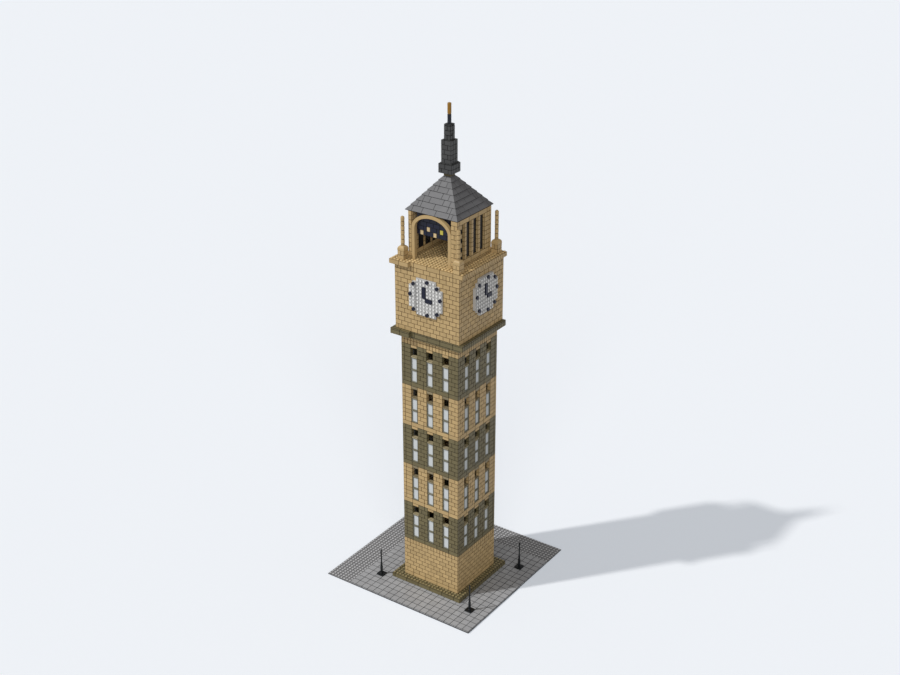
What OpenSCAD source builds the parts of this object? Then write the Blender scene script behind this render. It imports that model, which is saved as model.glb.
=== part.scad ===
// Clock tower model built from toy bricks, on its own base board.
// Units: mm.  +Z up.  Origin: centre of the board's underside.
// The front, with one clock dial, faces -Y.

/* [Brick system] */
// distance between neighbouring studs
stud = 8; // [6:0.5:10]
// height of one plate, a third of a brick
plate_h = 3.2; // [2.6:0.1:4]

/* [Base board] */
// studs along each side of the square board
board_n = 48; // [44:2:60]
// thickness of the board
board_t = 1.6; // [1.2:0.1:2.4]
// studs along each side of the tiled square
paved_n = 40; // [36:2:44]

/* [Shaft] */
// studs along each side of the shaft
shaft_n = 18; // [16:2:20]
// courses of brick in the base storey
base_courses = 10; // [8:1:12]
// courses of brick in each window storey
storey_courses = 10; // [10:1:12]
// width of one window bay, in studs
window_w_n = 2; // [1.5:0.5:2.5]
// distance between neighbouring window bays, in studs
bay_pitch_n = 5; // [4:0.5:6]
// height of the glazed window, in plates
window_h_p = 18; // [15:1:20]
// height of the open vent above each window, in plates
vent_h_p = 6; // [4:1:6]
// thickness of one window pane
pane_t = 1.6; // [1:0.1:2.4]
// courses of brick in the plain band under the lower cornice
frieze_courses = 2; // [1:1:3]

/* [Clock storey] */
// studs along each side of the clock storey
head_n = 20; // [18:2:22]
// courses of brick in the clock storey
head_courses = 15; // [13:1:17]
// studs across each clock dial
dial_n = 10; // [8:2:12]
// gap between a dial's top and the terrace, in studs
dial_drop_n = 2.4; // [1.5:0.1:3]
// width of one hour mark
mark_d = 7.6; // [5:0.2:8]
// length of the minute hand, in studs
minute_n = 3; // [2:1:4]
// length of the hour hand, in studs
hour_n = 2; // [1:1:3]

/* [Belfry] */
// studs along each side of the belfry
belfry_n = 15; // [13:1:15]
// height of the belfry, in plates
belfry_p = 32; // [28:1:36]
// width of the pier on the left of the arch, in studs
left_pier_n = 1; // [1:1:2]
// width of the pier on the right of the arch, in studs
right_pier_n = 2; // [1:1:3]
// rise of the arch's outer curve, in plates
arch_rise_p = 10.5; // [8:0.5:12]
// height of the low wall under the slots, in plates
sill_p = 5; // [4:1:7]
// width of one belfry slot, in studs
slot_w_n = 2; // [1:0.25:2]
// width of the pillar between two slots, in studs
slot_pillar_n = 1; // [0.75:0.25:2]
// thickness of one slot panel
slot_panel_t = 3.2; // [2:0.2:4]

/* [Pinnacles] */
// width of a pinnacle's square base, in studs
pinnacle_base_n = 2; // [1.5:0.5:2]
// diameter of a pinnacle's shaft
pinnacle_d = 8; // [6:0.5:9]
// height of a pinnacle's shaft, in plates
pinnacle_p = 19; // [15:1:22]

/* [Roof and spire] */
// height of the wide spire block, in plates
spire_base_p = 6; // [4:1:8]
// height of the middle spire block, in plates
spire_mid_p = 15; // [12:1:18]
// height of the narrow spire block, in plates
spire_top_p = 10; // [8:1:12]
// diameter of the rod at the top
rod_d = 8; // [6:0.5:9]
// height of the dark rod, in plates
rod_p = 6; // [4:1:8]
// height of the gold finial, in plates
finial_p = 7; // [5:1:9]

/* [Lamps] */
// diameter of a lamp's thin pole
lamp_pole_d = 3.2; // [2.6:0.1:4]
// height of a lamp above the tiles
lamp_h = 65; // [55:1:72]

/* [Hidden] */
brick_h = 3 * plate_h;
tile_t = plate_h;
axis_x = (board_n - paved_n) * stud / 2;
axis_y = -axis_x;
z_board = board_t;
z_tiles = z_board + tile_t;
plinth_n = shaft_n + 5;
z_plinth = z_tiles + brick_h;
shaft_h = shaft_n * stud / 2;
storey_h = storey_courses * brick_h;
z_storey = z_plinth + base_courses * brick_h;
z_frieze = z_storey + 5 * storey_h;
z_lower = z_frieze + frieze_courses * brick_h;
lower_h = plate_h + plate_h * 4;
z_head = z_lower + lower_h;
head_h = head_n * stud / 2;
z_upper = z_head + head_courses * brick_h;
z_terrace = z_upper + brick_h;
window_w = window_w_n * stud;
window_z = brick_h;
window_h = window_h_p * plate_h;
vent_z = window_z + window_h + plate_h;
vent_h = vent_h_p * plate_h;
bay_pitch = bay_pitch_n * stud;
dial_z = z_upper - (dial_n / 2 + dial_drop_n) * stud;
thick_cols_n = 2;
bel_cx = stud / 2;
bel_cy = -stud / 2;
bel_h = belfry_n * stud / 2;
z_eave = z_terrace + belfry_p * plate_h;
sill_h = sill_p * plate_h;
slot_w = slot_w_n * stud;
slot_h = belfry_p * plate_h - sill_h - brick_h;
arch_a = (belfry_n - left_pier_n - right_pier_n) * stud / 2;
arch_b = arch_rise_p * plate_h;
arch_band = 0.9 * stud;
arch_x = (left_pier_n - right_pier_n) * stud / 2;
infill_w = 2 * arch_a - 2 * stud;
slot_pitch = slot_w + slot_pillar_n * stud;
slots = floor((2 * (bel_h - stud) - stud) / slot_pitch);
infill_h = 5 * brick_h;
roof_h = bel_h + stud / 2;
roof_courses = floor(roof_h / stud) - 1;
z_cap = z_eave + roof_courses * brick_h;
cap_h = 2 * plate_h;
z_spire = z_cap + cap_h;
z_mid = z_spire + spire_base_p * plate_h;
z_top = z_mid + spire_mid_p * plate_h;
z_rod = z_top + spire_top_p * plate_h;
z_finial = z_rod + rod_p * plate_h;
pin_out = bel_h + pinnacle_base_n * stud / 2;
pin_base_h = 3 * brick_h;
pin_z = z_terrace + pin_base_h;
lamp_out_x = 15 * stud;
lamp_front_y = -12 * stud;
lamp_back_y = 13 * stud;
lamp_base_h = plate_h;
knob_d = 0.6 * stud;
knob_t = 1.8;
lamp_low_h = 17.6;
lamp_low_d = 5.6;

dark = "DarkOliveGreen";
tan_c = "Tan";

// a box from its lowest corner and its size, measured from the tower axis
module block(x0, y0, z0, lx, ly, lz) {
  translate([axis_x + x0, axis_y + y0, z0])
    cube([lx, ly, lz]);
}

// the same children on opposite faces, turned half a turn about the tower axis
module both_faces() {
  children();
  translate([axis_x, axis_y, 0])
    rotate([0, 0, 180])
      translate([-axis_x, -axis_y, 0])
        children();
}

// the same children turned half a turn about the belfry's centre
module both_belfry_faces() {
  children();
  translate([axis_x + bel_cx, axis_y + bel_cy, 0])
    rotate([0, 0, 180])
      translate([-axis_x - bel_cx, -axis_y - bel_cy, 0])
        children();
}

// the same children turned a quarter turn about the tower axis
module quarter() {
  translate([axis_x, axis_y, 0])
    rotate([0, 0, 90])
      translate([-axis_x, -axis_y, 0])
        children();
}

// window and vent cut through a wall whose outside is the plane y = -shaft_h
module bay_cuts(z0) {
  for (i = [-1:1]) {
    block(i * bay_pitch - window_w / 2, -shaft_h - 1, z0 + window_z,
      window_w, stud + 2, window_h);
    block(i * bay_pitch - window_w / 2, -shaft_h - 1, z0 + vent_z,
      window_w, stud + 2, vent_h);
  }
}

module front_back(level) {
  z0 = z_storey + (level - 1) * storey_h;
  both_faces()
    difference() {
      block(-shaft_h, -shaft_h, z0, 2 * shaft_h, stud, storey_h);
      bay_cuts(z0);
    }
}

module sides(level) {
  z0 = z_storey + (level - 1) * storey_h;
  quarter()
    both_faces()
      difference() {
        block(-shaft_h + stud, -shaft_h, z0, 2 * (shaft_h - stud), stud, storey_h);
        bay_cuts(z0);
      }
}

// one pane in each bay of one face
module face_panes(z0) {
  for (i = [-1:1])
    block(i * bay_pitch - window_w / 2, -shaft_h + 0.3 * stud, z0 + window_z,
      window_w, pane_t, window_h);
}

module panes(level) {
  z0 = z_storey + (level - 1) * storey_h;
  both_faces()
    face_panes(z0);
  quarter()
    both_faces()
      face_panes(z0);
}

module base_board() {
  color("Gray")
    translate([-board_n * stud / 2, -board_n * stud / 2, 0])
      cube([board_n * stud, board_n * stud, board_t]);
}

module paving() {
  color("LightGray")
    block(-paved_n * stud / 2, -paved_n * stud / 2, z_board,
      paved_n * stud, paved_n * stud, tile_t);
}

module plinth() {
  color(dark)
    block(-shaft_h - 3 * stud, -shaft_h - 2 * stud, z_tiles,
      plinth_n * stud, plinth_n * stud, brick_h);
}

module base_storey() {
  color(tan_c)
    difference() {
      block(-shaft_h, -shaft_h, z_plinth, 2 * shaft_h, 2 * shaft_h,
        base_courses * brick_h);
      block(-shaft_h + stud, -shaft_h + stud, z_plinth - 1,
        2 * (shaft_h - stud), 2 * (shaft_h - stud), base_courses * brick_h + 2);
    }
}

module storey_1_front_back() {
  color(dark)
    front_back(1);
}

module storey_1_sides() {
  color(dark)
    sides(1);
}

module storey_1_panes() {
  color("AliceBlue")
    panes(1);
}

module storey_2_front_back() {
  color(tan_c)
    front_back(2);
}

module storey_2_sides() {
  color(tan_c)
    sides(2);
}

module storey_2_panes() {
  color("AliceBlue")
    panes(2);
}

module storey_3_front_back() {
  color(dark)
    front_back(3);
}

module storey_3_sides() {
  color(dark)
    sides(3);
}

module storey_3_panes() {
  color("AliceBlue")
    panes(3);
}

module storey_4_front_back() {
  color(tan_c)
    front_back(4);
}

module storey_4_sides() {
  color(tan_c)
    sides(4);
}

module storey_4_panes() {
  color("AliceBlue")
    panes(4);
}

module storey_5_front_back() {
  color(dark)
    front_back(5);
}

module storey_5_sides() {
  color(dark)
    sides(5);
}

module storey_5_panes() {
  color("AliceBlue")
    panes(5);
}

module frieze() {
  color(tan_c)
    difference() {
      block(-shaft_h, -shaft_h, z_frieze, 2 * shaft_h, 2 * shaft_h,
        frieze_courses * brick_h);
      block(-shaft_h + stud, -shaft_h + stud, z_frieze - 1,
        2 * (shaft_h - stud), 2 * (shaft_h - stud), frieze_courses * brick_h + 2);
    }
}

// the deck under each cornice: longer by a stud on the right, with a corner
// ledge at the front left
module cornice_deck(z0, h) {
  block(-head_h, -head_h, z0, 2 * head_h + stud, 2 * head_h, h);
  block(-head_h - stud, -head_h - stud, z0, 6 * stud, stud + 1, h);
  block(-head_h - stud, -head_h - stud, z0, stud + 1, 6 * stud, h);
}

module lower_cornice() {
  color(dark)
    difference() {
      union() {
        block(-head_h, -head_h, z_lower, 2 * head_h, 2 * head_h, lower_h);
        cornice_deck(z_lower + plate_h, lower_h - plate_h);
      }
      block(-shaft_h + stud, -shaft_h + stud, z_lower - 1,
        2 * (shaft_h - stud), 2 * (shaft_h - stud), lower_h + 2);
    }
}

module clock_storey_front_back() {
  color(tan_c)
    both_faces()
      block(-head_h, -head_h, z_head, 2 * head_h, stud, head_courses * brick_h);
}

module clock_storey_sides() {
  color(tan_c)
    quarter()
      both_faces()
        block(-head_h + stud, -head_h, z_head, 2 * (head_h - stud), stud,
          head_courses * brick_h);
}

// one dial on the front face, its middle cx to the right of the axis
module dial(cx, t) {
  c = dial_n / 2;
  for (k = [0:2])
    block(cx - (c - k) * stud, -head_h - t, dial_z - (c - 2 + k) * stud,
      2 * (c - k) * stud, t, 2 * (c - 2 + k) * stud);
}

// the eight hour marks of one dial, t deep, or left_t deep on its outer columns
// on the left
module marks(cx, t, left_t) {
  c = dial_n / 2;
  for (m = [[0.5, c - 0.5], [c - 1.5, c - 1.5], [c - 0.5, 0.5],
      [c - 1.5, 1.5 - c], [0.5, 0.5 - c], [1.5 - c, 1.5 - c],
      [0.5 - c, 0.5], [1.5 - c, c - 1.5]])
    translate([axis_x + cx + m[0] * stud,
        axis_y - head_h - (m[0] < thick_cols_n - c ? left_t : t),
        dial_z + m[1] * stud])
      rotate([90, 0, 0])
        cylinder(d = mark_d, h = plate_h, $fn = 48);
}

// the two hands of one dial
module hands(cx, t) {
  block(cx - stud, -head_h - t - plate_h, dial_z, stud, plate_h,
    minute_n * stud);
  block(cx, -head_h - t - plate_h, dial_z - stud, hour_n * stud, plate_h, stud);
}

// the outer columns on the left of the front dial, one plate thicker
module dial_step() {
  c = dial_n / 2;
  intersection() {
    dial(0, 2 * plate_h);
    block(-c * stud, -head_h - 2 * plate_h, dial_z - c * stud,
      thick_cols_n * stud, 2 * plate_h, dial_n * stud);
  }
}

module clock_dials() {
  color("Gainsboro") {
    both_faces() {
      dial(0, plate_h);
      dial_step();
    }
    quarter()
      both_faces()
        dial(stud, 2 * plate_h);
  }
}

module hour_marks() {
  color("MidnightBlue") {
    both_faces()
      marks(0, plate_h, 2 * plate_h);
    quarter()
      both_faces()
        marks(stud, 2 * plate_h, 2 * plate_h);
  }
}

module clock_hands() {
  color("MidnightBlue") {
    both_faces()
      hands(0, plate_h);
    quarter()
      both_faces()
        hands(stud, 2 * plate_h);
  }
}

module terrace() {
  color(tan_c)
    cornice_deck(z_upper, brick_h);
}

// the four pinnacles stand off the belfry's corners
module at_pinnacles() {
  for (p = [[-1, -1], [1, -1], [1, 1], [-1, 1]])
    translate([axis_x + bel_cx + p[0] * pin_out, axis_y + bel_cy + p[1] * pin_out, 0])
      children();
}

module pinnacle_bases() {
  color(tan_c)
    at_pinnacles()
      translate([-pinnacle_base_n * stud / 2, -pinnacle_base_n * stud / 2,
          z_terrace])
        cube([pinnacle_base_n * stud, pinnacle_base_n * stud, pin_base_h]);
}

module pinnacle_shafts() {
  color(tan_c)
    at_pinnacles()
      translate([0, 0, pin_z])
        cylinder(d = pinnacle_d, h = pinnacle_p * plate_h, $fn = 48);
}

// a box measured from the belfry's centre
module bel_block(x0, y0, z0, lx, ly, lz) {
  block(bel_cx + x0, bel_cy + y0, z0, lx, ly, lz);
}

module belfry_front_back() {
  color(tan_c)
    both_belfry_faces() {
      bel_block(-bel_h, -bel_h, z_terrace, bel_h + arch_x - arch_a, stud,
        belfry_p * plate_h);
      bel_block(arch_x + arch_a, -bel_h, z_terrace, bel_h - arch_x - arch_a,
        stud, belfry_p * plate_h);
    }
}

module belfry_sides() {
  color(tan_c)
    both_belfry_faces()
      difference() {
        bel_block(bel_h - stud, -bel_h + stud, z_terrace, stud,
          2 * (bel_h - stud), belfry_p * plate_h);
        for (i = [0:slots - 1])
          bel_block(bel_h - stud - 1, -bel_h + stud + i * slot_pitch,
            z_terrace + sill_h, stud + 2, slot_w, slot_h);
      }
}

// half ellipse seen from the front
function curve(a, b) = [for (i = [0:32]) [a * cos(i * 180 / 32), b * sin(i * 180 / 32)]];

module belfry_arches() {
  spring_z = z_eave - arch_b;
  color(tan_c)
    both_belfry_faces()
      translate([axis_x + bel_cx + arch_x, axis_y + bel_cy - bel_h + stud, spring_z])
        rotate([90, 0, 0])
          linear_extrude(stud)
            difference() {
              union() {
                polygon(curve(arch_a, arch_b));
                translate([-arch_a, z_terrace - spring_z])
                  square([2 * arch_a, spring_z - z_terrace + 0.01]);
              }
              polygon(curve(arch_a - arch_band, arch_b - arch_band));
              translate([-arch_a + arch_band, z_terrace - spring_z - 1])
                square([2 * (arch_a - arch_band), spring_z - z_terrace + 1.01]);
            }
}

module arch_infill() {
  color("MidnightBlue")
    both_belfry_faces()
      bel_block(arch_x - infill_w / 2, -bel_h + stud, z_eave - infill_h,
        infill_w, stud, infill_h);
}

module slot_panels() {
  color("Black")
    both_belfry_faces()
      for (i = [0:slots - 1])
        bel_block(bel_h - stud, -bel_h + stud + i * slot_pitch,
          z_terrace + sill_h, slot_panel_t, slot_w, slot_h);
}

// one sloped course, half-width h at its foot
module roof_step(h, z0) {
  lip = 1.6;
  translate([axis_x, axis_y, z0]) {
    translate([-h, -h, 0])
      cube([2 * h, 2 * h, lip]);
    hull() {
      translate([-h, -h, lip - 0.01])
        cube([2 * h, 2 * h, 0.01]);
      translate([stud - h, stud - h, brick_h - 0.01])
        cube([2 * (h - stud), 2 * (h - stud), 0.01]);
    }
  }
}

module roof() {
  color("Silver")
    difference() {
      union()
        for (k = [0:roof_courses - 1])
          roof_step(roof_h - k * stud, z_eave + k * brick_h);
      translate([axis_x, axis_y, z_eave - 0.01])
        linear_extrude((roof_courses - 2) * brick_h, scale =
            (roof_h - (roof_courses - 1) * stud) / (roof_h - 2 * stud))
          square(2 * (roof_h - 2 * stud), center = true);
    }
}

module spire_collar() {
  color("Olive")
    block(-stud, -stud, z_cap, 2 * stud, 2 * stud, cap_h);
}

module spire_base() {
  color("DimGray")
    block(-2 * stud, -2 * stud, z_spire, 4 * stud, 4 * stud,
      spire_base_p * plate_h);
}

module spire_middle() {
  color("DimGray")
    block(-1.5 * stud, -1.5 * stud, z_mid, 3 * stud, 3 * stud,
      spire_mid_p * plate_h);
}

module spire_top() {
  color("DimGray") {
    block(-stud, -stud, z_top, 2 * stud, 2 * stud, spire_top_p * plate_h);
    translate([axis_x + stud - 1, axis_y, z_top + 1.4 * stud])
      rotate([0, 90, 0])
        cylinder(d = knob_d, h = knob_t + 1, $fn = 48);
  }
}

module spire_rod() {
  color("DarkSlateGray")
    translate([axis_x, axis_y, z_rod])
      cylinder(d = rod_d, h = rod_p * plate_h, $fn = 48);
}

module finial() {
  color("Goldenrod")
    translate([axis_x, axis_y, z_finial])
      cylinder(d = rod_d, h = finial_p * plate_h, $fn = 48);
}

module at_lamps() {
  for (p = [[-1, lamp_front_y], [1, lamp_front_y], [1, lamp_back_y],
      [-1, lamp_back_y]])
    translate([axis_x + p[0] * lamp_out_x, axis_y + p[1], z_tiles])
      children();
}

module lamp_bases() {
  color("Black")
    at_lamps()
      translate([-stud, -stud, 0])
        cube([2 * stud, 2 * stud, lamp_base_h]);
}

module lamp_poles() {
  color("Black")
    at_lamps() {
      translate([0, 0, lamp_base_h])
        cylinder(d = lamp_low_d, h = lamp_low_h, $fn = 48);
      translate([0, 0, lamp_base_h + lamp_low_h - 0.5])
        cylinder(d = lamp_pole_d, h = lamp_h - lamp_base_h - lamp_low_h + 0.5,
          $fn = 48);
    }
}

base_board();
paving();
plinth();
base_storey();
storey_1_front_back();
storey_1_sides();
storey_1_panes();
storey_2_front_back();
storey_2_sides();
storey_2_panes();
storey_3_front_back();
storey_3_sides();
storey_3_panes();
storey_4_front_back();
storey_4_sides();
storey_4_panes();
storey_5_front_back();
storey_5_sides();
storey_5_panes();
frieze();
lower_cornice();
clock_storey_front_back();
clock_storey_sides();
clock_dials();
hour_marks();
clock_hands();
terrace();
pinnacle_bases();
pinnacle_shafts();
belfry_front_back();
belfry_sides();
belfry_arches();
arch_infill();
slot_panels();
roof();
spire_collar();
spire_base();
spire_middle();
spire_top();
spire_rod();
finial();
lamp_bases();
lamp_poles();
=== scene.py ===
# brick-built clock tower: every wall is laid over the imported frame, counted in studs from the tower's axis
import math

import bmesh
import bpy
from mathutils import Matrix, Vector


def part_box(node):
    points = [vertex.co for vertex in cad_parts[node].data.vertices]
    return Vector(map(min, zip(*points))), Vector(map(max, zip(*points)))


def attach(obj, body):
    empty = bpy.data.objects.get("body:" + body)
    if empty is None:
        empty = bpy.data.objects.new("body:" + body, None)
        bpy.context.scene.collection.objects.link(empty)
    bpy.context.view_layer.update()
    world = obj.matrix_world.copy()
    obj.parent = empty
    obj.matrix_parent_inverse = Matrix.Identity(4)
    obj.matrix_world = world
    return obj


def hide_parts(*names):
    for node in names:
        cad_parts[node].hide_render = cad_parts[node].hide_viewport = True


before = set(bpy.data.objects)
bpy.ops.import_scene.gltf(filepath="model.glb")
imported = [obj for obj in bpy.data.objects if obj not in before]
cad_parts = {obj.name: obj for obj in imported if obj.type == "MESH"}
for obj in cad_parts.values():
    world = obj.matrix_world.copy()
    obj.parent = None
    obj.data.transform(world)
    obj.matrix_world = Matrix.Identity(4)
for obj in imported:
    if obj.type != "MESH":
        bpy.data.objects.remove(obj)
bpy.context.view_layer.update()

brickSystem = {
    "pitch": 0.008,        # between neighbouring studs
    "course": 1.2,         # height of a brick, in studs
    "plate": 0.4,          # height of a plate, in studs
    "joint": 0.0002,       # play between the ends of two bricks
    "edge": 0.0005,        # rounding of a brick's edges
    "fineEdge": 0.0003,    # rounding of studs and frames
    "lengths": (1, 2, 3, 4, 6),  # bricks there are, in studs
}
pitch = brickSystem["pitch"]
course = brickSystem["course"]
plate = brickSystem["plate"]
shaftLow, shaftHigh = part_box("base_storey")
axisX = (shaftLow[0] + shaftHigh[0]) / 2
axisY = (shaftLow[1] + shaftHigh[1]) / 2
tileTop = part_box("paving")[1][2]
shaftHalf = round((shaftHigh[0] - shaftLow[0]) / 2 / pitch)
headHalf = round((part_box("clock_storey_front_back")[1][0] - axisX) / pitch)
body = "root"


def spot(x, y, z):  # studs from the axis and the tile tops, to metres
    return Vector((axisX + x * pitch, axisY + y * pitch, tileTop + z * pitch))


def extent(node):  # a node's sides in whole studs: x from, x to, y from, y to
    low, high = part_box(node)
    sides = (low[0] - axisX, high[0] - axisX, low[1] - axisY, high[1] - axisY)
    return [round(side / pitch) for side in sides]


def footOf(node):  # a node's lowest level, in studs
    return (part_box(node)[0][2] - tileTop) / pitch


def topOf(node):
    return (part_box(node)[1][2] - tileTop) / pitch


def addNode(tree, kind, feeds=None, **settings):
    node = tree.nodes.new(kind)
    for key, value in settings.items():
        setattr(node, key, value)
    for key, value in (feeds or {}).items():
        if isinstance(value, bpy.types.NodeSocket):
            tree.links.new(value, node.inputs[key])
        else:
            node.inputs[key].default_value = value
    return node


def linear(tint):
    return tuple((c / 12.92 if c <= 0.04045 else ((c + 0.055) / 1.055) ** 2.4) for c in tint) + (1.0,)


plasticLook = {
    "cloudScale": 90.0,     # faint cloudiness in the plastic
    "cloudLow": 0.3,        # the part of it that is used
    "cloudHigh": 0.7,
    "grainScale": 1400.0,   # fine grain of the surface
    "grainStrength": 0.08,
    "grainDepth": 0.0002,
    "glossier": 0.05,       # how far roughness falls and rises with the clouds
    "duller": 0.06,
    "seamDulling": 0.5,     # roughness added in a joint
    "ior": 1.5,
}


def mouldedPlastic(name, tint, seamAndShadeTint, roughness=0.42, spread=0.10, mottle=0.05, shadeBelow=0.0, shine=0.3):
    # the joint tint colours the joints and the painted shade on stud sides, round necks and roof lips, and paints
    # shade on everything lower than a given height, along the bottom edges of the board and the tiles
    look = plasticLook
    material = bpy.data.materials.new(name)
    material.use_nodes = True
    tree = material.node_tree
    tree.nodes.clear()
    place = addNode(tree, "ShaderNodeTexCoord").outputs["Object"]
    clouds = addNode(tree, "ShaderNodeTexNoise", {"Vector": place, "Scale": look["cloudScale"],
                                                  "Detail": 3.0, "Roughness": 0.6}).outputs["Fac"]
    grain = addNode(tree, "ShaderNodeTexNoise", {"Vector": place, "Scale": look["grainScale"],
                                                 "Detail": 2.0}).outputs["Fac"]
    tone = addNode(tree, "ShaderNodeAttribute", attribute_name="brickTone").outputs["Fac"]
    # marks joints, and painted shade on stud sides, round necks and roof lips
    seamAndShade = addNode(tree, "ShaderNodeAttribute", attribute_name="seamAndShade").outputs["Fac"]

    def byCloud(low, high):
        return addNode(tree, "ShaderNodeMapRange", {
            "Value": clouds, "From Min": look["cloudLow"], "From Max": look["cloudHigh"],
            "To Min": low, "To Max": high}).outputs[0]

    # lighter or darker brick by brick, and a little by cloud
    perBrick = addNode(tree, "ShaderNodeMath", {0: tone, 1: spread, 2: 1.0}, operation="MULTIPLY_ADD").outputs[0]
    value = addNode(tree, "ShaderNodeMath", {0: perBrick, 1: byCloud(1.0 - mottle, 1.0 + mottle)},
                    operation="MULTIPLY").outputs[0]
    shade = addNode(tree, "ShaderNodeHueSaturation", {"Value": value, "Color": linear(tint)}).outputs["Color"]
    height = addNode(tree, "ShaderNodeSeparateXYZ", {0: place}).outputs["Z"]
    # painted shade: everything lower than this height takes the joint tint
    low = addNode(tree, "ShaderNodeMath", {0: height, 1: shadeBelow}, operation="LESS_THAN").outputs[0]
    # joints and painted shade together: darker colour and more roughness
    dull = addNode(tree, "ShaderNodeMath", {0: seamAndShade, 1: low}, operation="MAXIMUM").outputs[0]
    mix = addNode(tree, "ShaderNodeMix", data_type="RGBA")
    colourIn = [socket for socket in mix.inputs if socket.type == "RGBA"]
    colourOut = [socket for socket in mix.outputs if socket.type == "RGBA"][0]
    tree.links.new(dull, mix.inputs[0])
    tree.links.new(shade, colourIn[0])
    colourIn[1].default_value = linear(seamAndShadeTint)
    gloss = byCloud(roughness - look["glossier"], roughness + look["duller"])
    matt = addNode(tree, "ShaderNodeMath", {0: dull, 1: look["seamDulling"], 2: gloss},
                   operation="MULTIPLY_ADD").outputs[0]
    bump = addNode(tree, "ShaderNodeBump", {"Height": grain, "Strength": look["grainStrength"],
                                            "Distance": look["grainDepth"]}).outputs["Normal"]
    plastic = addNode(tree, "ShaderNodeBsdfPrincipled", {
        "Base Color": colourOut, "Roughness": matt, "Normal": bump, "IOR": look["ior"], "Specular IOR Level": shine})
    addNode(tree, "ShaderNodeOutputMaterial", {"Surface": plastic.outputs[0]})
    return material


plastics = {  # tint, tint of the joints and of painted shade, and what differs from the usual plastic
    "tanPlastic": ((0.748, 0.643, 0.460), (0.34, 0.25, 0.14), {}),
    "darkTanPlastic": ((0.435, 0.400, 0.285), (0.14, 0.12, 0.07), {}),
    # studs are the bricks' own plastic, tinted lighter: painted highlight
    "tanStudsPaintedHighlight": ((0.88, 0.77, 0.56), (0.30, 0.22, 0.12), {"roughness": 0.28, "shine": 0.6}),
    "darkTanStudsPaintedHighlight": ((0.57, 0.52, 0.37), (0.13, 0.11, 0.07), {"roughness": 0.30, "shine": 0.6}),
    # board studs are the board's own grey, tinted lighter: painted highlight
    "boardStudGreyPaintedHighlight": ((0.76, 0.76, 0.765), (0.10, 0.10, 0.11), {"roughness": 0.32, "spread": 0.04, "shine": 0.5}),
    "sillPale": ((0.66, 0.61, 0.48), (0.28, 0.24, 0.16), {}),
    "sillGrey": ((0.55, 0.50, 0.39), (0.24, 0.21, 0.15), {}),
    "frameGreen": ((0.42, 0.41, 0.34), (0.14, 0.14, 0.12), {}),
    # tiles and board: the lower part of their sides is darkened, a painted shade line along their bottom edges
    "tileGrey": ((0.645, 0.648, 0.655), (0.13, 0.13, 0.14), {"roughness": 0.36, "spread": 0.07, "shadeBelow": 0.0026}),
    "boardGrey": ((0.54, 0.54, 0.545), (0.16, 0.16, 0.17), {"roughness": 0.4, "spread": 0.04, "shadeBelow": 0.0015}),
    "paneWhite": ((0.82, 0.84, 0.85), (0.6, 0.6, 0.6), {"roughness": 0.15, "spread": 0.03, "mottle": 0.02}),
    "dialWhite": ((0.76, 0.76, 0.755), (0.44, 0.44, 0.44), {"roughness": 0.35, "spread": 0.05, "mottle": 0.03}),
    # dial studs are the dial's own white, tinted lighter: painted highlight
    "dialStudWhitePaintedHighlight": ((0.92, 0.92, 0.91), (0.33, 0.33, 0.34),
                      {"roughness": 0.26, "spread": 0.05, "mottle": 0.03, "shine": 0.6}),
    "navyPlastic": ((0.055, 0.075, 0.165), (0.01, 0.01, 0.02), {"roughness": 0.3}),
    # the slot panels are navy, darkened to near black: painted shade
    "navyPanelPaintedShade": ((0.04, 0.045, 0.07), (0.02, 0.02, 0.03), {"roughness": 0.3}),
    "roofGrey": ((0.40, 0.40, 0.407), (0.045, 0.045, 0.05), {"roughness": 0.45, "spread": 0.08}),
    "collarOlive": ((0.38, 0.33, 0.17), (0.15, 0.13, 0.08), {}),
    "spireGrey": ((0.265, 0.268, 0.27), (0.05, 0.05, 0.055), {"roughness": 0.4, "spread": 0.14}),
    "rodDark": ((0.11, 0.12, 0.16), (0.05, 0.05, 0.07), {"roughness": 0.3}),
    "pearlGold": ((0.60, 0.44, 0.17), (0.3, 0.18, 0.05), {"roughness": 0.3}),
    "lampBlack": ((0.09, 0.10, 0.11), (0.03, 0.03, 0.04), {"roughness": 0.3}),
    "paleBrick": ((0.83, 0.74, 0.57), (0.4, 0.34, 0.24), {}),
    "limeBrick": ((0.78, 0.74, 0.34), (0.4, 0.38, 0.16), {}),
}
finishes = {name: mouldedPlastic(name, tint, seamAndShadeTint, **rest) for name, (tint, seamAndShadeTint, rest) in plastics.items()}
print("finishes ready:", len(finishes))


def makeTree(name, sockets):
    tree = bpy.data.node_groups.new(name, "GeometryNodeTree")
    for label, kind, value in sockets:
        socket = tree.interface.new_socket(label, in_out="INPUT", socket_type="NodeSocket" + kind)
        if value is not None:
            socket.default_value = value
    tree.interface.new_socket("Geometry", in_out="OUTPUT", socket_type="NodeSocketGeometry")
    return tree, addNode(tree, "NodeGroupInput").outputs


def endTree(tree, geometry):
    tree.links.new(geometry, addNode(tree, "NodeGroupOutput").inputs[0])
    return tree


def maths(tree, operation, a, b):
    return addNode(tree, "ShaderNodeMath", {0: a, 1: b}, operation=operation).outputs[0]


def vector(tree, x, y, z):
    return addNode(tree, "ShaderNodeCombineXYZ", {0: x, 1: y, 2: z}).outputs[0]


def shift(tree, geometry, x, y, z):
    return addNode(tree, "GeometryNodeTransform",
                   {"Geometry": geometry, "Translation": vector(tree, x, y, z)}).outputs[0]


def gather(tree, parts):
    node = addNode(tree, "GeometryNodeJoinGeometry")
    for part in parts:
        tree.links.new(part, node.inputs[0])
    return node.outputs[0]


def hull(tree, parts):
    return addNode(tree, "GeometryNodeConvexHull", {"Geometry": gather(tree, parts)}).outputs[0]


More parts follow.
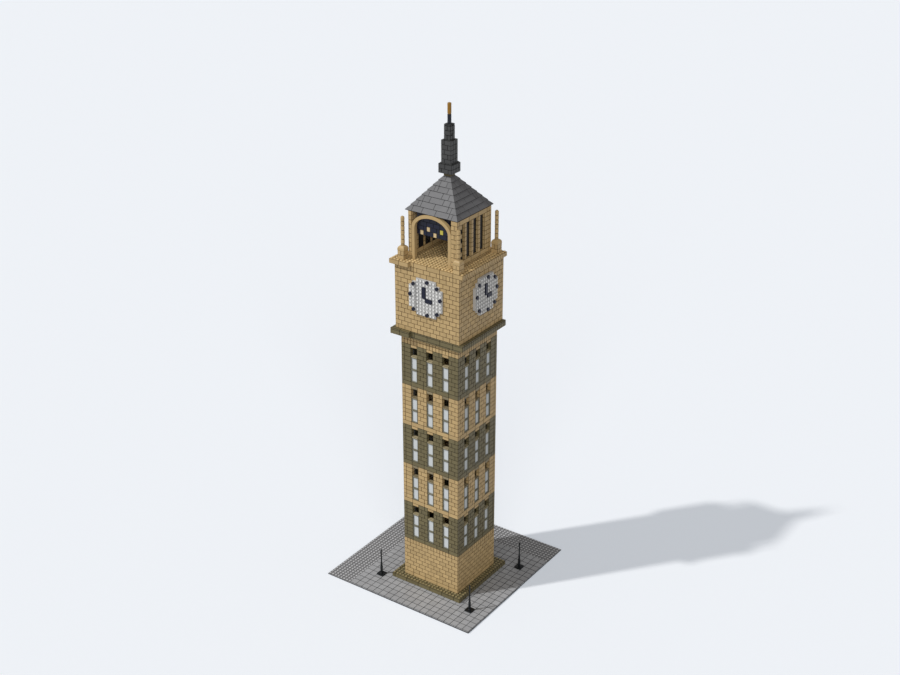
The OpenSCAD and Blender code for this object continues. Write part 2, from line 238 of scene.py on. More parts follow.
def buildSoftBox():  # a box with rounded-off edges: the hull of three crossed boxes
    tree, given = makeTree("softBox", [("Length", "Float", 0.016), ("Depth", "Float", 0.008),
                                       ("Height", "Float", 0.0096), ("Edge", "Float", 0.0004)])
    trim = maths(tree, "MULTIPLY", given["Edge"], 2.0)
    small = [maths(tree, "SUBTRACT", given[side], trim) for side in ("Length", "Depth", "Height")]
    full = [given[side] for side in ("Length", "Depth", "Height")]
    boxes = []
    for keep in range(3):
        size = vector(tree, *[full[i] if i == keep else small[i] for i in range(3)])
        boxes.append(addNode(tree, "GeometryNodeMeshCube", {"Size": size}).outputs["Mesh"])
    return endTree(tree, hull(tree, boxes))


softBoxTree = buildSoftBox()


def softBox(tree, length, depth, height, edge):
    return addNode(tree, "GeometryNodeGroup", {"Length": length, "Depth": depth, "Height": height, "Edge": edge},
                   node_tree=softBoxTree).outputs[0]


def softDisc(tree, radius, height, edge, sides):  # a round with a rounded-off rim, standing on its origin
    lowHeight = maths(tree, "SUBTRACT", height, edge)
    slimRadius = maths(tree, "SUBTRACT", radius, edge)
    low = addNode(tree, "GeometryNodeMeshCylinder",
                  {"Vertices": sides, "Radius": radius, "Depth": lowHeight}).outputs["Mesh"]
    slim = addNode(tree, "GeometryNodeMeshCylinder",
                   {"Vertices": sides, "Radius": slimRadius, "Depth": height}).outputs["Mesh"]
    return hull(tree, [shift(tree, low, 0.0, 0.0, maths(tree, "MULTIPLY", lowHeight, 0.5)),
                       shift(tree, slim, 0.0, 0.0, maths(tree, "MULTIPLY", height, 0.5))])


def readSpot(tree, name, kind):
    return addNode(tree, "GeometryNodeInputNamedAttribute", {"Name": name}, data_type=kind).outputs["Attribute"]


def storeSeamAndShade(tree, geometry, value):
    return addNode(tree, "GeometryNodeStoreNamedAttribute", {"Geometry": geometry, "Name": "seamAndShade", "Value": value},
                   data_type="FLOAT", domain="FACE").outputs[0]


seamAndShadeRules = {
    "slant": 1.1,    # a normal's three parts add up to more than this on a brick's rounded-off edge
    "course": 0.3,   # and its part along the eave is under this on a roof's course line, where the lip is painted as shade
    "upright": 0.5,  # and its upward part is under this on the side of a round, where shade is painted
}


def compare(tree, value, operation, limit):
    return addNode(tree, "FunctionNodeCompare", {0: value, 1: limit}, data_type="FLOAT",
                   operation=operation).outputs[0]


def markSlants(tree, geometry):  # a brick's rounded-off edges
    normal = addNode(tree, "GeometryNodeInputNormal").outputs["Normal"]
    plain = addNode(tree, "ShaderNodeVectorMath", {0: normal}, operation="ABSOLUTE").outputs["Vector"]
    slant = addNode(tree, "ShaderNodeVectorMath", {0: plain, 1: (1.0, 1.0, 1.0)},
                    operation="DOT_PRODUCT").outputs["Value"]
    return storeSeamAndShade(tree, geometry, compare(tree, slant, "GREATER_THAN", seamAndShadeRules["slant"]))


def leaning(tree, axis, limit):  # 1 where a face leans less than limit towards an axis
    normal = addNode(tree, "GeometryNodeInputNormal").outputs["Normal"]
    part = addNode(tree, "ShaderNodeSeparateXYZ", {0: normal}).outputs[axis]
    return compare(tree, maths(tree, "ABSOLUTE", part, 0.0), "LESS_THAN", limit)


def markSmall(tree, geometry, seamArea, upright):  # course lines in full, each slope's small lip faces painted as shade; upright joints fainter
    area = addNode(tree, "GeometryNodeInputMeshFaceArea").outputs[0]
    strength = maths(tree, "MAXIMUM", leaning(tree, "X", seamAndShadeRules["course"]), upright)
    small = compare(tree, area, "LESS_THAN", seamArea)
    return storeSeamAndShade(tree, geometry, maths(tree, "MULTIPLY", small, strength))


def paintSideShade(tree, geometry, strength):  # painted shade on the upright faces of a round, not its rim
    side = leaning(tree, "Z", seamAndShadeRules["upright"])
    return storeSeamAndShade(tree, geometry, maths(tree, "MULTIPLY", side, strength))


def setOut(tree, points, shape, facing, span=None, count=0):
    node = addNode(tree, "GeometryNodeInstanceOnPoints",
                   {"Points": points, "Instance": shape, "Rotation": facing})
    if span is not None:
        match = addNode(tree, "FunctionNodeCompare", {2: span, 3: count}, data_type="INT",
                        operation="EQUAL")
        tree.links.new(match.outputs[0], node.inputs["Selection"])
    return node.outputs[0]


def settle(tree, given, placed):  # a tone for each copy, then real geometry in its material
    tone = addNode(tree, "FunctionNodeRandomValue", {2: -1.0, 3: 1.0, 8: given["Seed"]}, data_type="FLOAT")
    toned = addNode(tree, "GeometryNodeStoreNamedAttribute",
                    {"Geometry": gather(tree, placed), "Name": "brickTone", "Value": tone.outputs[1]},
                    data_type="FLOAT", domain="INSTANCE").outputs[0]
    real = addNode(tree, "GeometryNodeRealizeInstances", {"Geometry": toned}).outputs[0]
    return endTree(tree, addNode(tree, "GeometryNodeSetMaterial",
                                 {"Geometry": real, "Material": given["Material"]}).outputs[0])


shared = [("Geometry", "Geometry", None), ("Edge", "Float", brickSystem["edge"]), ("Seed", "Int", 1),
          ("Material", "Material", None)]


def turned(tree):
    return addNode(tree, "FunctionNodeEulerToRotation", {0: readSpot(tree, "facing", "FLOAT_VECTOR")}).outputs[0]


def buildBrickTree():
    tree, given = makeTree("layBricks", shared + [
        ("Pitch", "Float", pitch), ("Height", "Float", course * pitch), ("Depth", "Float", pitch),
        ("Joint", "Float", brickSystem["joint"])])
    span, facing, placed = readSpot(tree, "span", "INT"), turned(tree), []
    for count in brickSystem["lengths"]:
        length = maths(tree, "SUBTRACT", maths(tree, "MULTIPLY", given["Pitch"], float(count)), given["Joint"])
        box = softBox(tree, length, given["Depth"], given["Height"], given["Edge"])
        raised = shift(tree, box, 0.0, 0.0, maths(tree, "MULTIPLY", given["Height"], 0.5))
        brick = markSlants(tree, raised)
        placed.append(setOut(tree, given["Geometry"], brick, facing, span, count))
    return settle(tree, given, placed)


def buildStudTree():
    tree, given = makeTree("setStuds", shared + [
        ("Radius", "Float", 0.0024), ("Height", "Float", 0.0017), ("Sides", "Int", 12),
        ("Outline", "Float", 0.35)])
    # a stud's upright sides take the joint tint in the given share: painted shade
    disc = softDisc(tree, given["Radius"], given["Height"], given["Edge"], given["Sides"])
    stud = paintSideShade(tree, disc, given["Outline"])
    return settle(tree, given, [setOut(tree, given["Geometry"], stud, turned(tree))])


slopeLengths = (0, 1, 2, 3, 4)  # 0 is a hipped corner
slopeTop = 2.4  # thickness of a slope's thin top, in edge roundings


def buildSlopeTree():  # sloped bricks along an eave, and their hipped corners where span is 0
    tree, given = makeTree("laySlopes", shared + [
        ("Pitch", "Float", pitch), ("Height", "Float", course * pitch), ("Lip", "Float", 0.0016),
        ("Joint", "Float", 0.0003), ("Seam and shade area", "Float", 4.0e-5), ("Upright", "Float", 0.45)])
    span, facing, placed = readSpot(tree, "span", "INT"), turned(tree), []
    edge, wide = given["Edge"], given["Pitch"]
    thin = maths(tree, "MULTIPLY", edge, slopeTop)
    footZ = maths(tree, "MULTIPLY", given["Lip"], 0.5)
    topZ = maths(tree, "SUBTRACT", given["Height"], maths(tree, "MULTIPLY", thin, 0.5))
    deep = maths(tree, "MULTIPLY", wide, 2.0)
    half = maths(tree, "MULTIPLY", wide, 1.5)
    for count in slopeLengths:
        if count:
            length = maths(tree, "SUBTRACT", maths(tree, "MULTIPLY", wide, float(count)), given["Joint"])
            foot = shift(tree, softBox(tree, length, deep, given["Lip"], edge), 0.0, wide, footZ)
            top = shift(tree, softBox(tree, length, wide, thin, edge), 0.0, half, topZ)
        else:
            foot = shift(tree, softBox(tree, deep, deep, given["Lip"], edge), wide, wide, footZ)
            top = shift(tree, softBox(tree, wide, wide, thin, edge), half, half, topZ)
        slope = markSmall(tree, hull(tree, [foot, top]), given["Seam and shade area"], given["Upright"])
        placed.append(setOut(tree, given["Geometry"], slope, facing, span, count))
    return settle(tree, given, placed)


def buildWindowTree():  # two stiles and two rails round an open middle
    tree, given = makeTree("hangWindows", shared + [
        ("Width", "Float", 0.0158), ("Height", "Float", 0.0288), ("Depth", "Float", pitch),
        ("Stile", "Float", 0.0014), ("Bottom rail", "Float", 0.0022), ("Top rail", "Float", 0.0016)])
    aside = maths(tree, "MULTIPLY", maths(tree, "SUBTRACT", given["Width"], given["Stile"]), 0.5)
    middle = maths(tree, "MULTIPLY", given["Height"], 0.5)
    bars = []
    for way in (-1.0, 1.0):
        stile = softBox(tree, given["Stile"], given["Depth"], given["Height"], given["Edge"])
        bars.append(shift(tree, stile, maths(tree, "MULTIPLY", aside, way), 0.0, middle))
    for rail in ("Bottom rail", "Top rail"):
        bar = softBox(tree, given["Width"], given["Depth"], given[rail], given["Edge"])
        level = maths(tree, "MULTIPLY", given[rail], 0.5)
        if rail == "Top rail":
            level = maths(tree, "SUBTRACT", given["Height"], level)
        bars.append(shift(tree, bar, 0.0, 0.0, level))
    return settle(tree, given, [setOut(tree, given["Geometry"], gather(tree, bars), turned(tree))])


neckSink = 0.0005  # how far a neck runs up into its round brick


def buildRoundTree():  # a round brick on its narrower neck
    tree, given = makeTree("stackRounds", shared + [
        ("Radius", "Float", 0.004), ("Neck radius", "Float", 0.0031), ("Neck", "Float", 0.0016),
        ("Height", "Float", course * pitch), ("Sides", "Int", 20)])
    drumHeight = maths(tree, "SUBTRACT", given["Height"], given["Neck"])
    neckHeight = maths(tree, "ADD", given["Neck"], neckSink)
    drum = softDisc(tree, given["Radius"], drumHeight, given["Edge"], given["Sides"])
    neck = softDisc(tree, given["Neck radius"], neckHeight, given["Edge"], given["Sides"])
    # the whole neck takes the joint tint: a dark joint line and painted shade under the drum
    whole = gather(tree, [shift(tree, drum, 0.0, 0.0, given["Neck"]), storeSeamAndShade(tree, neck, 1.0)])
    return settle(tree, given, [setOut(tree, given["Geometry"], whole, turned(tree))])


brickTree = buildBrickTree()
studTree = buildStudTree()
slopeTree = buildSlopeTree()
windowTree = buildWindowTree()
roundTree = buildRoundTree()
print("node trees built:", len(bpy.data.node_groups))


def finishPiece(piece, nodes=()):
    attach(piece, body)
    if nodes:
        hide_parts(*nodes)
    return piece


def makePiece(name, tree, places, finish, slotName, nodes=(), **sizes):
    # a place is x, y and z in studs, a turn in degrees (or three of them) and, for bricks, a length in studs
    layout = bpy.data.meshes.new(name + "Layout")
    layout.from_pydata([spot(*place[:3]) for place in places], [], [])
    layout.attributes.new("facing", "FLOAT_VECTOR", "POINT")
    layout.attributes.new("span", "INT", "POINT")
    for i, place in enumerate(places):
        turn = place[3] if isinstance(place[3], tuple) else (0, 0, place[3])
        layout.attributes["facing"].data[i].vector = [math.radians(a) for a in turn]
        layout.attributes["span"].data[i].value = place[4] if len(place) > 4 else 1
    piece = bpy.data.objects.new(name, layout)
    bpy.context.scene.collection.objects.link(piece)
    modifier = piece.modifiers.new("geometry", "NODES")
    modifier.node_group = tree
    values = {"Material": finishes[finish], **sizes}
    for socket in tree.interface.items_tree:
        if socket.in_out == "INPUT" and socket.name in values:
            modifier[socket.identifier] = values[socket.name]
    piece.update_tag()
    depsgraph = bpy.context.evaluated_depsgraph_get()
    laid = bpy.data.meshes.new_from_object(piece.evaluated_get(depsgraph), preserve_all_data_layers=True,
                                           depsgraph=depsgraph)
    piece.modifiers.clear()
    piece.data = laid
    laid.name = name
    laid.materials.clear()
    laid.materials.append(finishes[finish])
    laid.polygons.foreach_set("material_index", [0] * len(laid.polygons))
    for label in ("facing", "span"):
        if label in laid.attributes:
            laid.attributes.remove(laid.attributes[label])
    bpy.data.meshes.remove(layout)
    return finishPiece(piece, nodes)


def makeMesh(name, build, finish, nodes=()):
    mesh = bpy.data.meshes.new(name)
    shape = bmesh.new()
    build(shape)
    bmesh.ops.recalc_face_normals(shape, faces=shape.faces)
    shape.to_mesh(mesh)
    shape.free()
    mesh.materials.append(finishes[finish])
    piece = bpy.data.objects.new(name, mesh)
    bpy.context.scene.collection.objects.link(piece)
    return finishPiece(piece, nodes)


def onWall(side, u, inward, half):
    # a place u along a wall and a distance in from its face; sides go front, right, back, left
    turn = (0, 90, 180, 270)[side]
    flat = Matrix.Rotation(math.radians(turn), 2) @ Vector((u, -half + inward))
    return flat.x, flat.y, turn


def cutRun(start, end, joints):
    # pieces of one course between start and end, broken at the joints and in the lengths there are
    edges = [start] + [j for j in joints if start < j < end] + [end]
    run = []
    for a, b in zip(edges, edges[1:]):
        while b - a > 1e-6:
            size = min(b - a, max(brickSystem["lengths"]))
            size = size if size in brickSystem["lengths"] else 3
            run.append((a + size / 2, int(size)))
            a += size
    return run


def courseJoints(start, end, size):  # a joint every size studs, where fours begin with a three
    joints, at = [], start + (3 if size == 4 else size)
    while at < end:
        joints.append(at)
        at += size
    return joints


def wallCourses(half, z0, courses, gaps=(), length=2, firstLong=False, lastLength=None, phase=0,
                singlesFrom=None):
    # one ring of four walls: odd courses let the side walls through at the corners
    places = []
    slack = 0.05  # a course that touches a gap by less than this isn't cut
    for c in range(courses):
        last = c == courses - 1
        z = z0 + c * course
        size = 4 if firstLong and c == 0 else length
        if lastLength and last:
            size = lastLength
        cuts = sorted((a, b) for a, b, low, high in gaps if z + slack < high and z + course - slack > low)
        for side in range(4):
            through = (c + side + phase) % 2 == 0
            start, end = (-half, half) if through else (-half + 1, half - 1)
            joints = courseJoints(start, end, size)
            if singlesFrom and last:
                joints = [j for j in range(-half, half) if abs(j) > singlesFrom or j % 2]
            froms = [start] + [b for a, b in cuts]
            tos = [a for a, b in cuts] + [end]
            for lo, hi in zip(froms, tos):
                narrow = cuts and hi - lo == 3 and size == 2  # the pier between two windows
                for u, count in cutRun(lo, hi, [lo + (2 if c % 2 else 1)] if narrow else joints):
                    x, y, turn = onWall(side, u, 0.5, half)
                    places.append((x, y, z, turn, count))
    return places


# the board studs' sides get strong painted shade
board = {"studHeight": 0.0016, "studSides": 10, "sideShade": 0.9}
tiles = {"size": 2, "joint": 0.0003, "edge": 0.0005}


def studField(x0, x1, y0, y1, z, covered):
    places = []
    for i in range(int(x0), int(x1)):
        for j in range(int(y0), int(y1)):
            x, y = i + 0.5, j + 0.5
            if not any(a < x < c and b < y < d for a, b, c, d in covered):
                places.append((x, y, z, 0))
    return places


def slabRows(x0, x1, y0, y1, z, offset=0):
    # rows of long bricks one stud deep, each row breaking its joints with the last
    places = []
    for row in range(int(y1 - y0)):
        joints = [x0 + ((offset + 2 * row) % 4 + 1) + 4 * k for k in range(int(x1 - x0))]
        for u, count in cutRun(x0, x1, joints):
            places.append((u, y0 + row + 0.5, z, 0, count))
    return places


def recolour(finish, *nodes):
    for node in nodes:
        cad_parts[node].data.materials.clear()
        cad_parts[node].data.materials.append(finishes[finish])


def hole(node):  # a node's sides as an area that studs or tiles leave free
    x0, x1, y0, y1 = extent(node)
    return x0, y0, x1, y1


recolour("boardGrey", "base_board")
boardPlaces = studField(*extent("base_board"), -plate, [hole("paving")])
makePiece("boardStuds", studTree, boardPlaces, "boardStudGreyPaintedHighlight", "board_grey", Height=board["studHeight"],
          Sides=board["studSides"], Outline=board["sideShade"], Edge=brickSystem["fineEdge"])

pavedFrom, pavedTo = extent("paving")[:2]
plinthSides = extent("plinth")
tilePlaces = []
for x in range(pavedFrom + 1, pavedTo, tiles["size"]):
    for y in range(pavedFrom + 1, pavedTo, tiles["size"]):
        underX = plinthSides[0] < x - 1 and x + 1 < plinthSides[1]
        underY = plinthSides[2] < y - 1 and y + 1 < plinthSides[3]
        if not (underX and underY):
            tilePlaces.append((x, y, -plate, 0, tiles["size"]))
makePiece("pavingTiles", brickTree, tilePlaces, "tileGrey", "tile_grey", ("paving",),
          Height=plate * pitch, Depth=tiles["size"] * pitch - tiles["joint"], Edge=tiles["edge"], Seed=11)

makePiece("plinthBricks", brickTree, slabRows(*plinthSides, 0), "darkTanPlastic", "dark_brick",
          ("plinth",), Seed=12)
# plinth studs: lighter tint as painted highlight, sides darkened as painted shade
makePiece("plinthStuds", studTree, studField(*plinthSides, course, [hole("base_storey")]),
          "darkTanStudsPaintedHighlight", "dark_brick", Outline=0.5, Edge=brickSystem["fineEdge"], Seed=13)
print("base laid")


bays = {"centres": (-5, 0, 5), "half": 1, "windowFeet": (1.2, 4.8), "windowTop": 8.4, "ventTop": 11.2,
        "top": 12, "courses": 10}

makePiece("baseStoreyBricks", brickTree,
          wallCourses(shaftHalf, footOf("base_storey"), 10, firstLong=True, lastLength=1),
          "tanPlastic", "tan_brick", ("base_storey",), Seed=20)

windows, sills, lintels, darkSills, darkLintels = [], [], [], [], []
for level in range(1, 6):
    z0 = footOf(f"storey_{level}_sides")
    dark = level % 2 == 1
    gaps = [(c - bays["half"], c + bays["half"], z0 + bays["windowFeet"][0], z0 + bays["top"])
            for c in bays["centres"]]
    makePiece(f"storey{level}Bricks", brickTree,
              wallCourses(shaftHalf, z0, bays["courses"], gaps, firstLong=True),
              "darkTanPlastic" if dark else "tanPlastic", "dark_brick" if dark else "tan_brick",
              (f"storey_{level}_front_back", f"storey_{level}_sides"), Seed=20 + level)
    recolour("paneWhite", f"storey_{level}_panes")
    for side in range(4):
        for c in bays["centres"]:
            x, y, turn = onWall(side, c, 0.5, shaftHalf)
            windows += [(x, y, z0 + foot, turn) for foot in bays["windowFeet"]]
            (sills if dark else darkSills).append((x, y, z0 + bays["windowTop"], turn, 2))
            (lintels if dark else darkLintels).append((x, y, z0 + bays["ventTop"], turn, 2))
makePiece("windowFrames", windowTree, windows, "frameGreen", "dark_brick", Seed=31,
          Edge=brickSystem["fineEdge"])
plateHigh = plate * pitch
makePiece("sillsInDarkBands", brickTree, sills, "sillPale", "tan_brick", Height=plateHigh, Seed=32)
makePiece("sillsInTanBands", brickTree, darkSills, "sillGrey", "dark_brick", Height=plateHigh, Seed=33)
makePiece("lintelsInDarkBands", brickTree, lintels, "tanPlastic", "tan_brick", Height=2 * plateHigh, Seed=34)
makePiece("lintelsInTanBands", brickTree, darkLintels, "sillGrey", "dark_brick", Height=2 * plateHigh, Seed=35)
makePiece("friezeBricks", brickTree, wallCourses(shaftHalf, footOf("frieze"), 2, length=1),
          "tanPlastic", "tan_brick", ("frieze",), Seed=36)
print("shaft laid")


ledges = [(-11, -5, -11, -10), (-11, -10, -10, -5)]


def deckRows(z):
    places = slabRows(-headHalf, headHalf + 1, -headHalf, headHalf, z, 1)
    for x0, x1, y0, y1 in ledges:
        places += slabRows(x0, x1, y0, y1, z, 2)
    return places


z0 = footOf("lower_cornice")
makePiece("cornicePlates", brickTree,
          slabRows(-headHalf, headHalf, -headHalf, headHalf, z0) + deckRows(z0 + 4 * plate),
          "darkTanPlastic", "dark_brick", Height=plateHigh, Seed=41)
makePiece("corniceBricks", brickTree, deckRows(z0 + plate), "darkTanPlastic", "dark_brick",
          ("lower_cornice",), Seed=42)
makePiece("clockStoreyBricks", brickTree,
          wallCourses(headHalf, footOf("clock_storey_sides"), 15, phase=1, singlesFrom=3),
          "tanPlastic", "tan_brick", ("clock_storey_front_back", "clock_storey_sides"), Seed=43)

dial = {"half": 5, "level": footOf("clock_storey_sides") + 10.6, "sideShift": 1,
        "steps": [(5, 3), (4, 4), (3, 5)],  # half the dial's width and height at each step of its rim
        "thickTo": -3,                      # left of this the front and back dials are two plates thick
        "marks": [(0.5, 4.5), (3.5, 3.5), (4.5, 0.5), (3.5, -3.5), (0.5, -4.5), (-3.5, -3.5), (-4.5, 0.5),
                  (-3.5, 3.5)],
        "hands": [(-0.5, 0.5), (-0.5, 1.5), (-0.5, 2.5), (0.5, -0.5), (1.5, -0.5)]}

dialStuds = []
for side in range(4):
    for i in range(-dial["half"], dial["half"]):
        for j in range(-dial["half"], dial["half"]):
            u, v = i + 0.5, j + 0.5
            inDial = any(abs(u) < wide and abs(v) < high for wide, high in dial["steps"])
            if not inDial or (u, v) in dial["marks"] + dial["hands"]:
                continue
            thick = 2 * plate if side % 2 or u < dial["thickTo"] else plate
            x, y, turn = onWall(side, u + (dial["sideShift"] if side % 2 else 0), -thick, headHalf)
            dialStuds.append((x, y, dial["level"] + v, (90, 0, turn)))
# dial studs: lighter tint as painted highlight, sides darkened as painted shade
makePiece("dialStuds", studTree, dialStuds, "dialStudWhitePaintedHighlight", "dial_white", Sides=10, Outline=0.8,
          Edge=brickSystem["fineEdge"], Seed=44)
recolour("dialWhite", "clock_dials")
recolour("navyPlastic", "hour_marks", "clock_hands")
print("clock storey laid")


pinnacle = {"spots": [(-8, -9), (9, -9), (9, 8), (-8, 8)], "courses": 2, "rounds": 6,
            "endRadius": 0.004, "endHeight": 0.0036,
            "cap": [(2.4, 1), (2.9, 1), (3.2, 0.9), (3.45, 0.72), (3.6, 0.5)]}
terraceTop = topOf("terrace")
zDeck = footOf("terrace")
makePiece("terraceBricks", brickTree, deckRows(zDeck), "tanPlastic", "tan_brick", ("terrace",), Seed=51)
covered = [(-7, -8, -5, -7), (5, -8, 8, -7), (-7, 6, -4, 7), (6, 6, 8, 7), (7, -8, 8, 7), (-7, -8, -6, 7)]  # walls
covered += [(x - 1, y - 1, x + 1, y + 1) for x, y in pinnacle["spots"]]
deckStuds = studField(-headHalf, headHalf + 1, -headHalf, headHalf, terraceTop, covered)
for x0, x1, y0, y1 in ledges:
    deckStuds += studField(x0, x1, y0, y1, terraceTop, covered)
# terrace studs: lighter tint as painted highlight, sides lightly darkened as painted shade
makePiece("terraceStuds", studTree, deckStuds, "tanStudsPaintedHighlight", "tan_brick", Outline=0.2,
          Edge=brickSystem["fineEdge"], Seed=52)


def closeRings(shape, rings):  # walls between neighbouring rings, and both ends closed
    sides = len(rings[0])
    for low, high in zip(rings, rings[1:]):
        for k in range(sides):
            shape.faces.new((low[k], low[(k + 1) % sides], high[(k + 1) % sides], high[k]))
    shape.faces.new(rings[0][::-1])
    shape.faces.new(rings[-1])


def squareCaps(shape):  # the rounded tops of the square bases
    for x, y in pinnacle["spots"]:
        rings = []
        for rise, half in pinnacle["cap"]:
            corners = [(-half, -half), (half, -half), (half, half), (-half, half)]
            rings.append([shape.verts.new(spot(x + a, y + b, terraceTop + rise)) for a, b in corners])
        closeRings(shape, rings)


pairs = []
for x, y in pinnacle["spots"]:
    for c in range(pinnacle["courses"]):
        for aside in (-0.5, 0.5):
            z = terraceTop + c * course
            pairs.append((x, y + aside, z, 0, 2) if c % 2 == 0 else (x + aside, y, z, 90, 2))
makePiece("pinnacleBricks", brickTree, pairs, "tanPlastic", "tan_brick",
          ("pinnacle_bases",), Seed=50)
makeMesh("pinnacleCaps", squareCaps, "tanPlastic")
rounds, zPin = [], footOf("pinnacle_shafts")
for x, y in pinnacle["spots"]:
    rounds += [(x, y, zPin + plate + k * course, 0) for k in range(pinnacle["rounds"])]
makePiece("pinnacleRounds", roundTree, rounds, "tanPlastic", "tan_brick", ("pinnacle_shafts",), Seed=53)
makePiece("pinnacleEnds", studTree, [(x, y, zPin, 0) for x, y in pinnacle["spots"]], "tanPlastic", "tan_brick",
          Radius=pinnacle["endRadius"], Height=pinnacle["endHeight"], Seed=54)
makePiece("pinnacleTips", studTree, [(x, y, topOf("pinnacle_shafts"), 0) for x, y in pinnacle["spots"]],
          "tanPlastic", "tan_brick", Seed=55)

belfry = {"centre": (0.5, -0.5), "courses": 10, "plates": 2, "leftPier": -6.5, "rightPier": 7, "front": -7.5,
          "wall": 7.5, "wallEnd": 6, "piers": (-4.5, -1.5, 1.5)}


def around(flip, x, y):  # the back and left half of the belfry is the front and right one, turned about
    cx, cy = belfry["centre"]
    return cx + flip * (x - cx), cy + flip * (y - cy)


def belfryCourse(c):  # front pieces and right wall of one course: x, y, turn, length
    left, right, front, wall, wallEnd = (belfry[key] for key in ("leftPier", "rightPier", "front", "wall", "wallEnd"))
    runs = [(left, front, 0, 1)]
    runs += [(right, front, 0, 2)] if c % 2 else [(right - 0.5, front, 0, 1), (wall, -right, 90, 2)]
    if c in (0, belfry["courses"] - 1):  # unbroken under and over the slots
        for a in range(-7 if c % 2 else -6, wallEnd, 4):
            size = min(4, wallEnd - a)
            runs.append((wall, a + size / 2, 90, size))
    else:
        runs += [(wall, middle, 90, 1) for middle in belfry["piers"]]
        runs += [(wall, 5, 90, 2)] if c % 2 else [(wall, 4.5, 90, 1), (wall, 5.5, 90, 1)]
    return runs


walls, lowPlates = [], []
for flip, turn in ((1, 0), (-1, 180)):
    footing = [(belfry["leftPier"], belfry["front"], 0, 1), (belfry["rightPier"], belfry["front"], 0, 2)]
    footing += [(belfry["wall"], -5 + 4 * k, 90, 4) for k in range(3)] + [(belfry["wall"], 5.5, 90, 1)]
    for layer in range(belfry["plates"]):
        z = terraceTop + layer * plate
        lowPlates += [(*around(flip, x, y), z, turn + angle, count) for x, y, angle, count in footing]
    for c in range(belfry["courses"]):
        z = terraceTop + belfry["plates"] * plate + c * course
        walls += [(*around(flip, x, y), z, turn + angle, count) for x, y, angle, count in belfryCourse(c)]
makePiece("belfryBricks", brickTree, walls, "tanPlastic", "tan_brick",
          ("belfry_front_back", "belfry_sides"), Seed=56)
makePiece("belfryPlates", brickTree, lowPlates, "tanPlastic", "tan_brick", Height=plateHigh, Seed=57)

infill = {"pale": [(-3.5, 0), (0.5, 0), (-1.5, 1), (2.5, 1)], "lime": 2.5, "half": 5, "courses": 5, "depth": -6.5}
navy, pale, lime = [], [], []
zInfill = footOf("arch_infill")
for flip in (1, -1):
    for row in range(infill["courses"]):
        spots = [u for u, r in infill["pale"] if r == row]
        a = -infill["half"]
        while a < infill["half"]:
            pair = a + 0.5 not in spots and a + 1.5 not in spots and a + 2 <= infill["half"]
            size = 2 if pair and (a + row) % 2 == 0 else 1
            place = (*around(flip, a + size / 2, infill["depth"]), zInfill + row * course, 0, size)
            if a + 0.5 in spots:
                (lime if a + 0.5 == infill["lime"] else pale).append(place)
            else:
                navy.append(place)
            a += size
makePiece("infillBricks", brickTree, navy, "navyPlastic", "navy", ("arch_infill",), Seed=58)
makePiece("infillPaleBricks", brickTree, pale, "paleBrick", "tan_brick", Seed=59)
makePiece("infillLimeBricks", brickTree, lime, "limeBrick", "tan_brick", Seed=60)
recolour("tanPlastic", "belfry_arches")
# the panels behind the belfry slots: navy darkened to near black, painted shade
recolour("navyPanelPaintedShade", "slot_panels")
print("belfry laid")


roof = {"half": 8, "courses": 7, "stagger": (3, 1, 2, 4, 1, 3, 2), "edge": 0.0005}
slopes, zRoof = [], footOf("roof")
for k in range(roof["courses"]):
    h = roof["half"] - k
    for side in range(4):
        x, y, turn = onWall(side, -h, 0, h)
        slopes.append((x, y, zRoof + k * course, turn, 0))
        joints = [-h + 2 + (roof["stagger"][k] + side) % 4 + 4 * m for m in range(-1, 6)]
        if h > 2:
            for u, count in cutRun(-h + 2, h - 2, joints):
                x, y, turn = onWall(side, u, 0, h)
                slopes.append((x, y, zRoof + k * course, turn, count))
makePiece("roofSlopes", slopeTree, slopes, "roofGrey", "roof_grey", ("roof",), Seed=61, Edge=roof["edge"])


spire = {"base": (2, 2), "middle": (1.5, 5), "top": (1, 3),  # half width in studs and courses of each block
         "topEdge": 0.0007, "plateEdge": 0.001, "knobLevel": 1.4, "knobHeight": 0.0018}


def blockStack(z0, half, courses):  # a solid square block, its joints broken from row to row
    places = []
    for c in range(courses):
        for k in range(int(2 * half)):
            joints = [-half + 1 + (c + k) % 2 + 2 * m for m in range(4)]
            run = cutRun(-half, half, joints)
            places += [(u, -half + k + 0.5, z0 + c * course, 0, count) for u, count in run]
    return places


makePiece("spireBaseBricks", brickTree, blockStack(footOf("spire_base"), *spire["base"]),
          "spireGrey", "spire_grey", ("spire_base",), Seed=62)
makePiece("spireMiddleBricks", brickTree, blockStack(footOf("spire_middle"), *spire["middle"]),
          "spireGrey", "spire_grey", ("spire_middle",), Seed=63)
recolour("collarOlive", "spire_collar")
recolour("lampBlack", "lamp_bases")
zTop = footOf("spire_top")
makePiece("spireTopBricks", brickTree, blockStack(zTop, *spire["top"]), "spireGrey", "spire_grey",
          ("spire_top",), Edge=spire["topEdge"], Seed=65)
makePiece("spireTopPlates", brickTree, [(0, y, zTop + 3 * course, 0, 2) for y in (-0.5, 0.5)],
          "spireGrey", "spire_grey", Height=plateHigh, Edge=spire["plateEdge"], Seed=66)
makePiece("spireKnob", studTree, [(1, 0, zTop + spire["knobLevel"], (90, 0, 90))], "spireGrey", "spire_grey",
          Height=spire["knobHeight"], Edge=brickSystem["fineEdge"], Seed=67)
spireStuds = studField(-2, 2, -2, 2, topOf("spire_base"), [(-1.5, -1.5, 1.5, 1.5)])
makePiece("spireStuds", studTree, spireStuds, "spireGrey", "spire_grey", Edge=brickSystem["fineEdge"], Seed=64)


